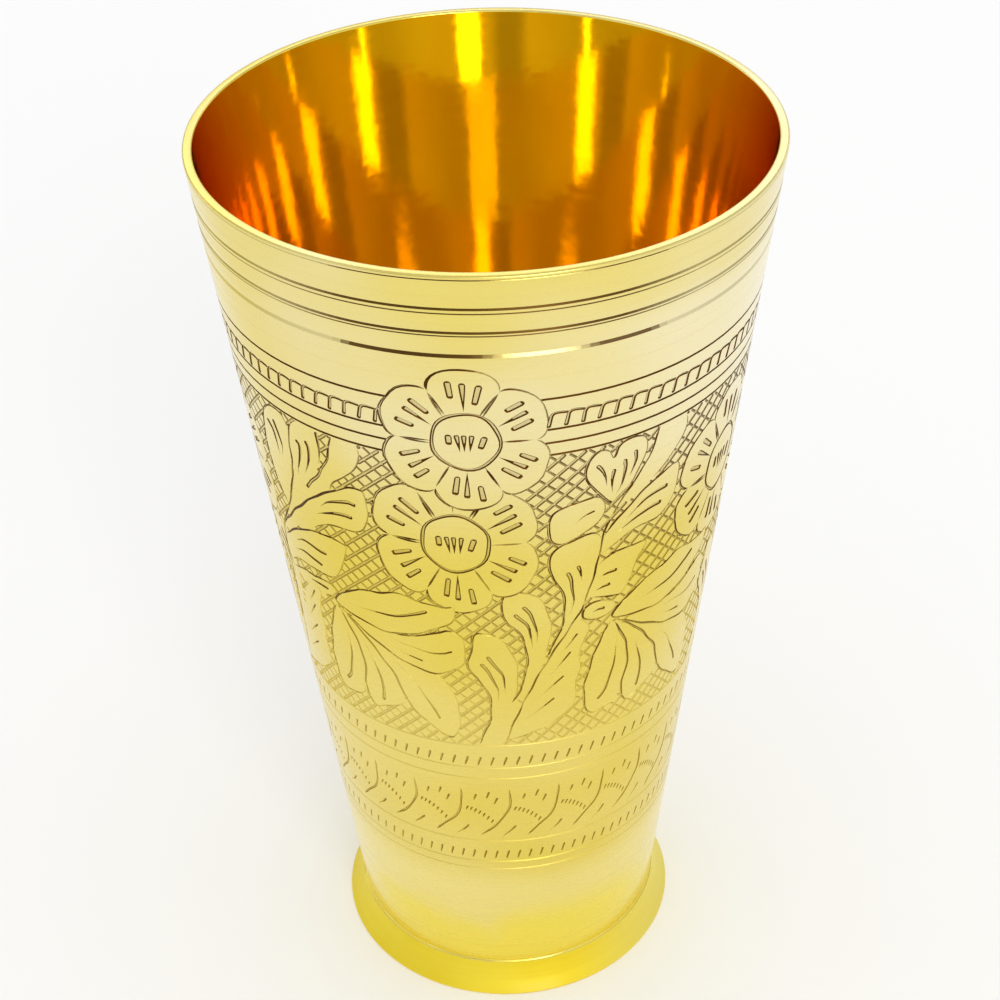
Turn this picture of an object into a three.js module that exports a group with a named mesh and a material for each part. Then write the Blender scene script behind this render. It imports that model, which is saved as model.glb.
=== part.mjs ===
// Engraved brass tumbler: a tapered drinking cup standing on a flared foot.
// Millimetres, +Z up. The origin is on the table, at the middle of the foot.
//
// The cup is built up from turned pieces. The wall has a spigot at its lower end that drops into
// the socket of the foot and stands on the ledge in there. The floor is a loose disc on the same
// ledge, inside the spigot. Hard solder closes both joints: a ring between the wall's shoulder and
// the lip of the foot, and a fillet round the edge of the floor.
import * as THREE from 'three';

// Wall
const height = 160; // table to the top of the rim
const rimDiameter = 91.5; // across the lip, outside
const waistDiameter = 55.1; // across the wall where it meets the foot, outside
const wallThickness = 1.5; // measured level
const rimEase = 0.3; // rounding of the two edges of the flat rim
const shoulder = 0.6; // step from the wall's outside in to the spigot

// Lines turned into the band below the rim
const fineLine = { width: 0.36, depth: 0.2 };
const boldLine = { width: 0.6, depth: 0.3 };
const turnedLines = [
  { belowRim: 5.4, ...fineLine },
  { belowRim: 6.15, ...fineLine },
  { belowRim: 9.4, ...fineLine },
  { belowRim: 9.9, ...fineLine },
  { belowRim: 13.3, ...boldLine },
];

// Foot
const flare = 2.75; // the foot's edge stands out this far from its lip
const flareHollow = 0.35; // how far the flare is hollowed
const lipStep = 0.35; // the lip stands out this far from the wall
const footRest = 3.2; // width of the ring that stands on the table
const footEase = 0.4; // rounding of the foot's bottom edge
const recess = 1.8; // table to the underside of the ledge
const ledgeThickness = 1.4;
const ledgeWidth = 3; // the ledge reaches this far in under the floor
const socketDepth = 2.4; // lip to ledge

// Floor and solder
const floorThickness = 1.6;
const seamThickness = 0.4; // ring of solder between shoulder and lip
const filletSize = 1.2; // solder in the corner between floor and wall
const clearance = 0.3; // all round, where one piece enters another

const turns = 96; // facets round each turned piece

// Heights and radii that follow from these
const ledgeZ = recess + ledgeThickness;
const lipZ = ledgeZ + socketDepth;
const shoulderZ = lipZ + seamThickness;
const floorZ = ledgeZ + floorThickness;

const waistRadius = waistDiameter / 2;
const taper = (rimDiameter / 2 - waistRadius) / (height - shoulderZ);
const outside = (z) => waistRadius + taper * (z - shoulderZ);
const inside = (z) => outside(z) - wallThickness;

const spigotRadius = waistRadius - shoulder;
const socketRadius = spigotRadius + clearance;
const lipRadius = waistRadius + lipStep;
const footRadius = lipRadius + flare;
const skirtRadius = footRadius - footRest;
const ledgeRadius = inside(ledgeZ) - ledgeWidth;
const floorRadius = inside(ledgeZ) - clearance;

// Profile helpers. A profile is a list of [radius, height] points, walked with the metal on the left.

// Points from a to b on a shallow curve whose middle lies off the straight line by sag, to the left.
function bow(a, b, sag, steps) {
  const [dr, dz] = [b[0] - a[0], b[1] - a[1]];
  const length = Math.hypot(dr, dz);
  const points = [];
  for (let i = 0; i <= steps; i += 1) {
    const t = i / steps;
    const off = (4 * sag * t * (1 - t)) / length;
    points.push([a[0] + dr * t - dz * off, a[1] + dz * t + dr * off]);
  }
  return points;
}

// Points of a circular arc about a centre, angles in degrees from the outward direction.
function arc(centre, radius, from, to, steps) {
  const points = [];
  for (let i = 0; i <= steps; i += 1) {
    const angle = THREE.MathUtils.degToRad(from + ((to - from) * i) / steps);
    points.push([centre[0] + radius * Math.cos(angle), centre[1] + radius * Math.sin(angle)]);
  }
  return points;
}

// One V-shaped line in the outside of the wall, from its lower edge to its upper edge.
function turnedLine({ belowRim, width, depth }) {
  const z = height - belowRim;
  return [
    [outside(z - width / 2), z - width / 2],
    [outside(z) - depth, z],
    [outside(z + width / 2), z + width / 2],
  ];
}

// Turn a profile about the Z axis. One that does not start and end on the axis is closed on itself.
function turn(name, profile, material) {
  const points = profile.map(([r, z]) => new THREE.Vector2(r, z));
  if (profile[0][0] > 0) {
    points.push(points[0].clone());
  }
  const geometry = new THREE.LatheGeometry(points, turns);
  geometry.rotateX(Math.PI / 2);
  const mesh = new THREE.Mesh(geometry, material);
  mesh.name = name;
  return mesh;
}

function brass(color, roughness) {
  return new THREE.MeshStandardMaterial({ color, roughness, metalness: 1 });
}

// Pieces

function bodyWall() {
  const lines = [...turnedLines].sort((a, b) => b.belowRim - a.belowRim);
  const rimZ = height - rimEase;
  return turn('body_wall', [
    [inside(ledgeZ), ledgeZ],
    [spigotRadius, ledgeZ],
    [spigotRadius, shoulderZ],
    [waistRadius, shoulderZ],
    ...lines.flatMap(turnedLine),
    ...arc([outside(rimZ) - rimEase, rimZ], rimEase, 0, 90, 4),
    ...arc([inside(rimZ) + rimEase, rimZ], rimEase, 90, 180, 4),
  ], brass('#e7d78a', 0.28));
}

function floorDisc() {
  return turn('floor_disc', [
    [0, ledgeZ],
    [floorRadius, ledgeZ],
    [floorRadius, floorZ],
    [0, floorZ],
  ], brass('#d9b35a', 0.3));
}

function footRing() {
  return turn('foot_ring', [
    [skirtRadius, 0],
    ...arc([footRadius - footEase, footEase], footEase, -90, 0, 4),
    ...bow([footRadius, footEase], [lipRadius, lipZ], flareHollow, 8).slice(1),
    [socketRadius, lipZ],
    [socketRadius, ledgeZ],
    [ledgeRadius, ledgeZ],
    [ledgeRadius, recess],
    [skirtRadius, recess],
  ], brass('#efd848', 0.25));
}

function footSolderRing() {
  return turn('foot_solder_ring', [
    [socketRadius, lipZ],
    ...bow([lipRadius, lipZ], [waistRadius, shoulderZ], seamThickness / 6, 4),
    [socketRadius, shoulderZ],
  ], brass('#f4e9a0', 0.2));
}

function floorSolderFillet() {
  const topZ = floorZ + filletSize;
  const edge = [inside(floorZ) - clearance, floorZ];
  const toe = [edge[0] - filletSize, floorZ];
  const top = [inside(topZ) - clearance, topZ];
  return turn('floor_solder_fillet', [
    edge,
    ...bow(top, toe, filletSize / 6, 6),
  ], brass('#cdb878', 0.4));
}

const tumbler = new THREE.Group();
tumbler.name = 'tumbler';
tumbler.add(bodyWall(), floorDisc(), footRing(), footSolderRing(), floorSolderFillet());

export default tumbler;
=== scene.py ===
"""Looks of an engraved brass tumbler, dressed on its turned solids.

Sizes are in millimetres until a mesh is made, and then in metres. +Z is up and -Y is the front.
A place on the wall is written (turn, height): degrees round from the front, seen from outside with
the right hand positive, and millimetres above the table.
"""

import math

import bmesh
import bpy
import numpy as np
from mathutils import Matrix, Vector
from mathutils.geometry import delaunay_2d_cdt
from mathutils.kdtree import KDTree


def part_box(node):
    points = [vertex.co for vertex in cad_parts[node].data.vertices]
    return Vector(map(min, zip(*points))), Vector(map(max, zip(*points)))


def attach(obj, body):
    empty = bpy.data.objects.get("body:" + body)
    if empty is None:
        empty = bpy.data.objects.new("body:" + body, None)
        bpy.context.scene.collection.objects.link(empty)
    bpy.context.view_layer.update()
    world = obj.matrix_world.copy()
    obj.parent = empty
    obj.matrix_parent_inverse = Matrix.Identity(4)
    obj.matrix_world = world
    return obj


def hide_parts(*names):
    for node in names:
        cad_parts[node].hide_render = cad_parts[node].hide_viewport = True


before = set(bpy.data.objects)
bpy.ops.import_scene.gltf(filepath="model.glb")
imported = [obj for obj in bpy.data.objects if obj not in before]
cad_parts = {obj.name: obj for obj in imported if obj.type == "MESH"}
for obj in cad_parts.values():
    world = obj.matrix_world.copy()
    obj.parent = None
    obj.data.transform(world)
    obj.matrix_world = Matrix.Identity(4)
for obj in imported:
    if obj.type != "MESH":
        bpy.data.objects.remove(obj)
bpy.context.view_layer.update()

MM = 0.001


def node_box(name):
    """Lowest and highest corner of a solid, in millimetres."""
    return [[round(value / MM, 3) for value in corner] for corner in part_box(name)]


# Sizes read from the solids
HEIGHT = node_box("body_wall")[1][2]
LEDGE = node_box("body_wall")[0][2]
LIP = node_box("foot_solder_ring")[0][2]
SHOULDER = node_box("foot_solder_ring")[1][2]
LIP_RADIUS = node_box("foot_solder_ring")[1][0]
FOOT_RADIUS = node_box("foot_ring")[1][0]
FLOOR_RADIUS = node_box("floor_disc")[1][0]
FLOOR = node_box("floor_disc")[1][2]
FILLET_TOP = node_box("floor_solder_fillet")[1][2]

# Sizes that their boxes do not tell
RIM_RADIUS = 45.75
WAIST_RADIUS = 27.55
WALL = 1.5
RIM_EASE = 0.3
SPIGOT_RADIUS = 26.95
SOCKET_RADIUS = 27.25
FOOT_REST = 3.2
FOOT_EASE = 0.4
FLARE_HOLLOW = 0.35
SEAM_BULGE = 0.07
FILLET_GAP = 0.05  # from the floor's solder to the wall
RECESS = 1.8
LEDGE_RADIUS = 22.72

TAPER = (RIM_RADIUS - WAIST_RADIUS) / (HEIGHT - SHOULDER)


def outside(z):
    return WAIST_RADIUS + TAPER * (z - SHOULDER)


def inside(z):
    return outside(z) - WALL


# The engraved band is one drawing, repeated round the wall. It is drawn flat, as wide as its share
# of the wall at the band's middle height, and wrapped round the taper afterwards.
REPEATS = 5
BAND_BOTTOM = 31.5
BAND_TOP = 145.5
BAND_RADIUS = outside((BAND_BOTTOM + BAND_TOP) / 2)
PANEL_WIDTH = 2 * math.pi * BAND_RADIUS / REPEATS
PANEL_TURN = -9.0  # turn of the drawing's middle
DRAWN_PITCH = 76.0  # degrees from one flower to the next, as drawn
PANEL_COLUMNS = 40
PANEL_ROWS = 38
COLUMNS = REPEATS * PANEL_COLUMNS
ALL_PANELS = (-2, -1, 0, 1, 2)  # this panel and two on either side
PANEL_MARGIN = 0.8  # a cut that ends this far outside the panel is still drawn

# Widths of the cuts. A cut has steep sides and, where it is broad enough, a flat bottom.
OUTLINE = 0.34
RING_LINE = 0.4
FAINT_LINE = 0.27
EYE_RING = 0.56
VEIN = 0.7
MARK = 0.95
BUD_LINE = 0.62
RUNG = 0.62
SWEEP = 0.48
TICK = 0.5
DOT = 0.44
HATCH_ROW = 0.64
HATCH_CROSS = 0.44

# Shape of the cuts
CUT_DEPTH = 0.16
HATCH_DEPTH = 0.13
SIDE_RUN = 0.19  # level width of a cut's side
LEAST_BOTTOM = 0.06  # half width from which a flat bottom is made
LEAN = 0.35  # how much broader an outline is on the left of what it goes round
NARROWING = 1.3  # how late a gouged cut narrows to its tip
RUN_OUT = 1.2  # length over which an even cut comes up to the surface at its ends
RUN_OUT_SHARE = 0.45  # and the most of a short cut that it takes up
SHORTEST = 0.6  # a shorter stretch of a cut is left out

# The hand that cuts them
SWAY = 0.1  # how far a line strays
SWAY_LENGTH = 6.0
SWELL = 0.15  # how much the width of an even cut varies, as a share of it
SWELL_LENGTH = 9.0

# Points on curves
SPAN_STEPS = 12  # from one drawn place to the next, before thinning
LONGEST = 2.4  # longest straight piece of a curve
SAG = 0.022  # how far a straight piece may lie off its curve
END_GAP = 0.1  # least distance from a cut's round end to its next point

# Hatched ground
HATCHED = (65.6, 127.5)  # heights between which it lies
HATCH_LINES = 17  # each way across a panel
HATCH_STRAY = 0.1  # how far a line strays, as a share of the distance between two
HATCH_STEP = 0.6  # in height, from point to point
HATCH_PIECE = 3.6  # longest straight piece of a line

# How depth is told from the marks along the middle of the cuts
MARK_STEP = 0.14
NEAR_MARKS = 8  # looked at for each point
MARK_REACH = 0.08  # along the cut
EDGE_SLACK = 0.006  # what is closer to a cut's edge is still bare
GROUND_CLEAR = 0.6  # least distance from a cut to a point of the bare ground
WELD = 1e-4  # points closer together are one


# Drawing: places, curves and cuts. A cut is a line of points (x, height, half width).


def at(turn, height):
    """A place on the wall, on the flat drawing."""
    return ((turn - PANEL_TURN) * PANEL_WIDTH / DRAWN_PITCH, height)


def smooth(places, closed=False):
    """A smooth line through a few places on the wall."""
    p = np.array([at(*place) for place in places])
    if closed:
        p = np.vstack([p[-1], p, p[0], p[1]])
    else:
        p = np.vstack([2 * p[0] - p[1], p, 2 * p[-1] - p[-2]])
    t = np.linspace(0, 1, SPAN_STEPS, endpoint=False)[:, None]
    runs = []
    for a, b, c, d in zip(p[:-3], p[1:-2], p[2:-1], p[3:]):
        runs.append(b + 0.5 * t * (c - a + t * (2 * a - 5 * b + 4 * c - d + t * (3 * (b - c) + d - a))))
    runs.append(p[-2][None])
    return thinned(by_hand(np.vstack(runs)))


def by_hand(points):
    """A curve with the small unevenness of a line cut by hand."""
    along = distance_along(points)
    tangent = np.gradient(points, axis=0)
    tangent /= np.linalg.norm(tangent, axis=1)[:, None] + 1e-9
    count = max(1, round(along[-1] / SWAY_LENGTH))
    depth = SWAY * min(1, along[-1] / (2 * SWAY_LENGTH))
    sway = depth * np.sin(2 * math.pi * count * along / along[-1] + points[0].sum())
    moved = points + sway[:, None] * np.column_stack([-tangent[:, 1], tangent[:, 0]])
    if np.allclose(points[0], points[-1]):
        moved[-1] = moved[0]
    return moved


def thinned(points):
    """As few of a curve's points as still follow it."""
    kept = [0]
    for i in range(2, len(points)):
        start, chord = points[kept[-1]], points[i] - points[kept[-1]]
        length = np.hypot(*chord)
        between = points[kept[-1] + 1 : i] - start
        off = np.abs(chord[0] * between[:, 1] - chord[1] * between[:, 0]).max() / max(length, 1e-9)
        if off > SAG or length > LONGEST:
            kept.append(i - 1)
    return points[kept + [len(points) - 1]]


def straight(a, b):
    a, b = np.array(a), np.array(b)
    count = max(1, math.ceil(np.linalg.norm(b - a) / LONGEST))
    return a + (b - a) * np.linspace(0, 1, count + 1)[:, None]


def distance_along(points):
    steps = np.linalg.norm(np.diff(points[:, :2], axis=0), axis=1)
    return np.concatenate([[0], np.cumsum(steps)])


def even_cut(points, width):
    """A cut of even width, closed on itself or coming up to the surface at its ends."""
    along = distance_along(points)
    swells = math.ceil(along[-1] / SWELL_LENGTH)
    swell = np.sin(2 * math.pi * swells * along / along[-1] + points[0].sum())
    half = width / 2 * (1 + SWELL * swell)
    if not np.allclose(points[0], points[-1]):
        ends = np.minimum(along, along[-1] - along) / min(RUN_OUT, RUN_OUT_SHARE * along[-1])
        half *= np.clip(ends, 0, 1)
    return np.column_stack([points, half])


def gouge(points, width, tip=0.0):
    """A cut that goes in broad, and narrows to a share of its width at its tip."""
    along = distance_along(points)
    return np.column_stack([points, width / 2 * (1 - (1 - tip) * (along / along[-1]) ** NARROWING)])


def leaning(cut, cover):
    """An outline cut with a leaning graver: broader on the left of what it goes round."""
    x, y = cover.T
    round_left = np.sign(x @ np.roll(y, -1) - y @ np.roll(x, -1))
    step = np.gradient(cut[:, :2], axis=0)
    cut[:, 2] *= 1 - LEAN * round_left * step[:, 1] / np.linalg.norm(step, axis=1)
    return cut


class Motif:
    """One thing in the drawing: the ground that it covers, and the cuts made for it."""

    def __init__(self, cover=None, cuts=(), panels=ALL_PANELS):
        self.cover = cover
        self.cuts = list(cuts)
        self.panels = panels  # where it is drawn, counted from this panel


def leaf(outline, *veins, root=None, width=VEIN):
    """A leaf and its veins, each from its broad end. Over its root, if given, it has no outline."""
    edge = smooth(outline, closed=root is None)
    cover = edge if root is None else np.vstack([edge, [at(*place) for place in root]])
    outlined = leaning(even_cut(edge, OUTLINE), cover)
    return Motif(cover, [outlined] + [gouge(smooth(vein), width) for vein in veins])


def flower(turn, height, wide, tall):
    """Six round petals about a ringed middle. Sizes are from the middle to the petals' edge."""
    middle, cusp = 0.385, 0.76  # reach of the ring, and of the notches between petals
    rng = np.random.default_rng(3)

    def polar(angle, radius):
        t = math.radians(angle)
        return at(turn + wide * radius * math.cos(t), height + tall * radius * math.sin(t))

    def part(x, y):
        return at(turn + wide * x, height + tall * y)

    ring = by_hand(np.array([polar(angle, middle) for angle in range(0, 361, 10)]))
    eye = Motif(ring, [even_cut(ring, EYE_RING)])
    for top, foot in (((-0.19, 0.1), (-0.185, -0.05)), ((0.22, 0.08), (0.16, -0.1))):
        eye.cuts.append(gouge(straight(part(*top), part(*foot)), MARK, tip=0.9))
    for x, lean in ((-0.1, 0.035), (-0.015, 0.0), (0.075, -0.03)):
        eye.cuts.append(gouge(straight(part(x, 0.1), part(x + lean, -0.14)), MARK - 0.1))
    notches = Motif()
    for angle in range(0, 360, 60):
        for lean in (0,) if angle in (0, 240, 300) else (0, 5):
            steps = np.linspace(0, 1, 6)
            line = [polar(angle + lean * (1 - t), middle + (cusp - middle) * t) for t in steps]
            notches.cuts.append(even_cut(np.array(line), OUTLINE))
    motifs = [eye, notches]
    for axis in range(30, 390, 60):
        bend = [math.radians(t) for t in range(-90, 91, 10)]
        bulge = (1 - cusp) * rng.uniform(0.86, 1.12)
        lean = rng.uniform(-4, 4)
        turns = [axis + 30 * math.sin(t) + lean * math.cos(t) ** 2 for t in bend]
        reaches = [cusp + bulge * math.cos(t) for t in bend]
        lobe = by_hand(np.array([polar(*place) for place in zip(turns, reaches)]))
        cover = np.vstack([lobe, [polar(axis, 0)]])
        petal = Motif(cover, [leaning(even_cut(lobe, OUTLINE), cover)])
        for side, start, end in ((-13, 0.8, 0.52), (13, 0.84, 0.6)):
            lean = rng.uniform(-2.5, 2.5)
            stretch = rng.uniform(-0.03, 0.03)
            outer = polar(axis + 0.85 * side + lean, start + stretch)
            line = straight(outer, polar(axis + side, end + stretch))
            petal.cuts.append(gouge(line, MARK, tip=0.85))
        line = straight(polar(axis + rng.uniform(-2, 2), 0.8), polar(axis, middle + 0.03))
        petal.cuts.append(gouge(line, MARK))
        motifs.append(petal)
    return motifs


def fan_leaf():
    """The broad leaf low on the left of the flower: lobes from one root, the uppermost first."""
    yield leaf(
        [(-46.3, 91), (-42, 94.2), (-37, 96.2), (-31, 97.3), (-25, 98.3), (-19, 97.5), (-14, 96.9),
         (-11.3, 97.3), (-10.6, 96.1), (-11.6, 94.2), (-14, 92.8), (-19, 91), (-25, 89.4), (-32, 88.9),
         (-40, 89.8)],
        [(-17.9, 95.7), (-21, 94.5), (-26, 93.3), (-32, 92.6), (-39.5, 92.3)],
    )
    yield leaf(
        [(-28, 88.8), (-20, 90), (-15.5, 91.3), (-13.2, 92), (-10.8, 91.4), (-9.2, 89.8), (-8.8, 87.5),
         (-9.5, 85), (-11.5, 83.4), (-14.5, 82.3), (-18, 81.8), (-24, 82.6), (-30, 84.3), (-38, 87.3),
         (-45, 90.1)],
        [(-12.2, 87.3), (-14.5, 86.6), (-19, 86.5), (-24, 87), (-30, 88)],
        [(-20.5, 84.2), (-25, 84.9), (-29, 86)],
        root=[(-36, 89)], width=0.4,
    )
    yield leaf(
        [(-18.5, 81.7), (-15.8, 80.8), (-13.5, 78.5), (-12.1, 75.5), (-11.7, 72), (-12.3, 69),
         (-14, 67), (-17, 67.5), (-20.5, 69.2), (-24, 71.2), (-26.8, 73.6), (-28.2, 76.5), (-30, 79.5),
         (-33, 82.3), (-38, 86.3), (-44, 89.6)],
        [(-17.5, 71), (-18.7, 72.6), (-20.5, 75), (-23, 78), (-26, 80.6), (-29.5, 83)],
        root=[(-30, 84), (-24, 82.4)], width=0.45,
    )
    yield leaf(
        [(-27.5, 73), (-31, 71.5), (-35, 70.3), (-38, 69.6), (-40.2, 71.4), (-40.8, 74), (-39.9, 76.5),
         (-39.6, 80), (-40.7, 83.5), (-43, 87), (-45.3, 89.6)],
        [(-35.2, 71.7), (-34.2, 74.5), (-35, 78), (-36.5, 81.5), (-38.5, 84.3)],
        root=[(-38, 86.3), (-33, 82.3), (-30, 79.5), (-28.2, 76.5)],
    )
    yield leaf(
        [(-40.8, 73.5), (-42.5, 71.2), (-46, 70.2), (-50, 69.8), (-52.2, 72), (-52.9, 76), (-52, 80),
         (-50.5, 84), (-48.5, 87.5), (-46.3, 90.2)],
        [(-48.6, 72.7), (-46, 74.8), (-44.6, 78.5), (-43.8, 82.5), (-44, 86.5)],
        root=[(-43, 87), (-40.5, 83), (-39.7, 78)],
    )


# Places along the stem on the flower's right, from the bottom up
STEM = [(0.8, 66.1), (4.5, 73), (9.5, 80.8), (14, 86.6), (18, 91.2), (21, 94.8), (23, 99.5),
        (24.4, 104), (25.2, 108.5), (26.8, 112.4), (30.5, 116.6), (35.5, 121.8), (38.2, 127.4)]


def low_leaves():
    """Two long leaves under the flower, on the left of the stem."""
    yield leaf(
        [(3, 75.8), (5, 78.5), (6.5, 82), (7, 86), (6.3, 89.5), (4.6, 92), (2.2, 94), (0.9, 96),
         (0.7, 98), (1.5, 99.8), (3.5, 100.5), (6.5, 100.4), (9.7, 99), (11.8, 96.3), (13, 93),
         (12.8, 89), (11.6, 86)],
        [(6, 97.4), (8.3, 94.8), (9.5, 91.2), (9.7, 88)],
        [(3.9, 95.9), (7, 93.2), (8.2, 90), (8.2, 87)],
        root=[(11, 83), (7, 77.2)],
    )
    yield leaf(
        [(-6.8, 65.7), (-4.8, 69), (-3.2, 72), (-2.8, 75.5), (-3.7, 78.4), (-5.6, 81), (-7.9, 83),
         (-8.5, 84.8), (-7.3, 88), (-6.2, 91.5), (-3.3, 91.7), (-0.5, 90.8), (2, 88.7), (4, 85.6),
         (4.6, 82), (4.2, 78.5), (3.4, 76.4)],
        [(-3.4, 86.6), (-1.4, 84.6), (0.6, 82), (1.2, 79), (1, 76.7)],
        [(-5, 85), (-3.2, 83), (-1.5, 80.5), (-0.7, 78), (-0.8, 75.5)],
        root=[(5.2, 75), (0.8, 65.7)],
    )


def broad_leaf():
    """The broad leaf at the bottom, on the right of the stem."""
    return leaf(
        [(19.6, 92.6), (21.4, 92.4), (23.3, 90.4), (22.3, 87.6), (20.9, 84.6), (21.9, 81.6),
         (20.4, 78.6), (21, 75.6), (19.4, 72.6), (15, 70.2), (9, 68.3), (2.4, 67)],
        [(14.6, 75.8), (10, 73.2), (6, 71.5)],
        [(17, 80.6), (12.6, 77.8), (9, 76)],
        [(18.6, 85.8), (15.3, 82.8), (12, 80.8)],
        [(20.2, 89.6), (17.6, 87), (15, 85.2)],
        root=STEM[:4], width=0.4,
    )


def short_leaves():
    """The stem, with long leaves towards the flower, and a bud and short leaves on its right."""
    yield Motif(None, [even_cut(smooth(STEM), OUTLINE)])
    yield leaf(
        [(11.9, 85.2), (13.7, 88), (15.7, 91.5), (16.5, 95), (16.2, 97.8), (15, 100.6), (13.3, 102.8),
         (12.1, 105), (12.6, 107.4), (14.7, 109.1), (17.5, 109.8), (21, 110.4), (23.5, 110.2),
         (25, 109)],
        [(16.8, 103.4), (17.9, 101.2), (18.6, 98), (18.6, 95.8), (17.8, 93.8)],
        [(19.3, 104.4), (20.1, 103.1), (20.5, 101)],
        root=STEM[7:2:-1],
    )
    yield leaf(
        [(23.8, 112.6), (19, 110.4), (15.5, 109.6), (13, 110.3), (11.9, 112), (11.9, 114.2),
         (13.3, 116.1), (16.5, 117.2), (20, 117.6), (23.5, 117.4), (25.5, 115)],
        [(22.8, 115), (20, 114.3), (17.8, 113)],
        width=0.4,
    )
    yield from low_leaves()
    yield leaf(
        [(27, 115.7), (24.3, 117.6), (22, 119.4), (20.5, 121.5), (20, 123.8), (21, 125.6),
         (23.2, 126.5), (25.3, 126), (26.5, 124.7), (27.4, 126.3), (29.2, 127.1), (32, 127.3),
         (34.3, 126.6), (34.9, 124.6), (34.1, 121.8), (31.6, 118.6), (29, 116.8)],
        [(22.6, 123.9), (23.6, 123), (24.8, 121.2), (25.4, 119.3)],
        [(26.9, 122.3), (26.5, 120.3), (26.9, 117.6)],
        [(29.3, 123.6), (29.8, 121.7), (29.1, 119), (27.5, 116.8)],
        [(32, 124.7), (32.2, 122.5), (31, 119.8)],
    )
    yield leaf(
        [(46, 127.4), (46.6, 126), (46, 123.8), (43.8, 121.3), (40, 118.9), (37.4, 117.4)],
        root=[(33.5, 115.6), (28.5, 114.2), *STEM[10:]],
    )
    yield leaf(
        [(25.5, 109.3), (28.5, 111.7), (32, 114), (35.5, 115.9), (40, 117.5), (43.5, 118.2),
         (45.6, 117.8), (46.2, 115.5), (45.4, 112.5), (44, 110.2), (41, 108.8), (36, 108.7),
         (31, 107.8), (27, 106.2), (24.9, 105.4)],
        [(43, 114.6), (40, 114.4), (36.5, 113.8), (33.5, 112.6), (31, 111.2)],
        [(41.5, 111.7), (38, 111.6), (34.5, 111), (32, 110.2), (29, 109)],
        root=STEM[8:9], width=0.85,
    )
    yield leaf(
        [(24.3, 103.4), (28, 104.8), (33, 105.2), (37.8, 104.8), (36.4, 102.4), (35, 100), (33.6, 97.3),
         (31.7, 95.4), (27.5, 96.1), (22.8, 96.8)],
        [(30.2, 101.2), (27.4, 101.1), (24.8, 100.4)],
        [(28.6, 98.6), (26.6, 98.4), (24.4, 98)],
        root=STEM[6:7], width=0.75,
    )
    yield leaf(
        [(21.8, 94.6), (25, 95.6), (28.5, 95), (30.5, 93.4), (29, 92), (25.5, 91.7), (21.5, 92.6)],
        [(27.6, 93.6), (25.8, 93.7), (24, 93.4)],
    )
    yield broad_leaf()


# A stem closer to the flower, and a single stroke beside its bud
LONG_STEM = [(0.8, 66.1), (3.5, 72), (6, 79), (7.5, 86), (8.2, 92), (9, 97), (11, 100.6), (13.4, 102.9),
             (16, 105), (19, 108.6), (21.4, 112), (23, 115), (24.1, 118.3), (24.6, 121), (25.2, 123.7),
             (26, 125.4), (27.6, 126.7), (29.4, 127.4)]
STROKE = [(27.8, 114.1), (33, 118.2), (37, 122.7), (39, 127.3)]


def long_leaves():
    """The same growth with its stem close to the flower and longer leaves."""
    yield Motif(None, [even_cut(smooth(LONG_STEM), OUTLINE), gouge(smooth(STROKE), BUD_LINE, 0.5)])
    yield leaf(
        [(10.5, 99.8), (13, 101.8), (16, 103.8), (20.6, 107), (26, 110.4), (30.8, 113.3), (36, 115.7),
         (39.8, 117.5), (42.5, 118.2), (45.4, 118.2), (46, 116.5), (45.7, 113.3), (44.4, 110.5),
         (42, 109.3), (38, 108.8), (33, 108.1), (29.5, 106.8), (27, 105.2)],
        [(43, 114.8), (40.9, 114.9), (37.7, 114.1), (34, 113), (31.3, 111.3)],
        [(41.4, 111.8), (38.8, 111.8), (35.6, 111.3), (32.4, 110.3), (29.4, 109.1)],
        root=[(23.3, 104), (19.6, 103), (16, 101.3), (13, 99.8)], width=0.85,
    )
    yield leaf(
        [(10, 97.6), (13, 99.3), (16, 100.8), (19.6, 102.5), (23.3, 103.6), (27.6, 104.8),
         (31.3, 105.3), (35, 105.3), (37.6, 105), (37.2, 103.6), (35.6, 101.2), (34, 98.6),
         (31.3, 96.6), (27, 95.6), (20, 95.2), (14, 94), (10.5, 92.6)],
        [(30, 100.9), (27.6, 100.8), (23.3, 100.7), (19.6, 100.3), (15.3, 98.2)],
        [(27.3, 97.7), (23.3, 97.8), (19, 97.6), (14.2, 96.2)],
        root=[(9, 95)], width=0.75,
    )
    yield leaf(
        [(10.5, 91.2), (15.3, 92.5), (20.6, 93.3), (26, 94), (29.5, 94), (30.8, 93), (29, 91.6),
         (25.5, 91)],
        [(27.6, 92.7), (24, 92.4), (19, 91.9)],
        root=[(20, 90.6), (14, 90.2)],
    )
    yield leaf(
        LONG_STEM[8:13],
        [(27.3, 123.2), (28.4, 122.4), (27.8, 120), (26.5, 117.7), (25.2, 115.5)],
        [(31, 124.2), (31.6, 123), (31, 121), (29.7, 118.7), (28.1, 116.5)],
        [(35.1, 127.1), (35.2, 125.6), (34.9, 123.4), (34, 120.4)],
        root=[*LONG_STEM[13:], (34.6, 127.4), (35.2, 126.2), (34.8, 122.5), (34.2, 120.2),
              (31.3, 116.8), (28, 114.2), (28, 110), (17, 103)],
    )
    yield leaf(
        [(17, 106.6), (14, 110.5), (12.8, 115), (13.2, 119.5), (15, 123.8), (18, 126.6), (21.5, 127.2),
         (24, 126.6), (25, 125)],
        [(16.6, 123.5), (18.5, 121.7), (19, 119), (18.8, 116.7)],
        [(19.6, 124.4), (20.6, 122), (21, 119.7), (20.1, 117.3)],
        root=LONG_STEM[14:8:-1],
    )
    yield leaf(
        [(45.8, 127.4), (46.2, 126), (45.5, 124.2), (43.5, 121.6), (40.6, 119.7), (37.7, 118.3),
         (36.4, 117), (36.1, 115.6)],
        root=[(36, 114), (28, 110), *STROKE],
    )
    yield broad_leaf()
    yield from low_leaves()


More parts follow.
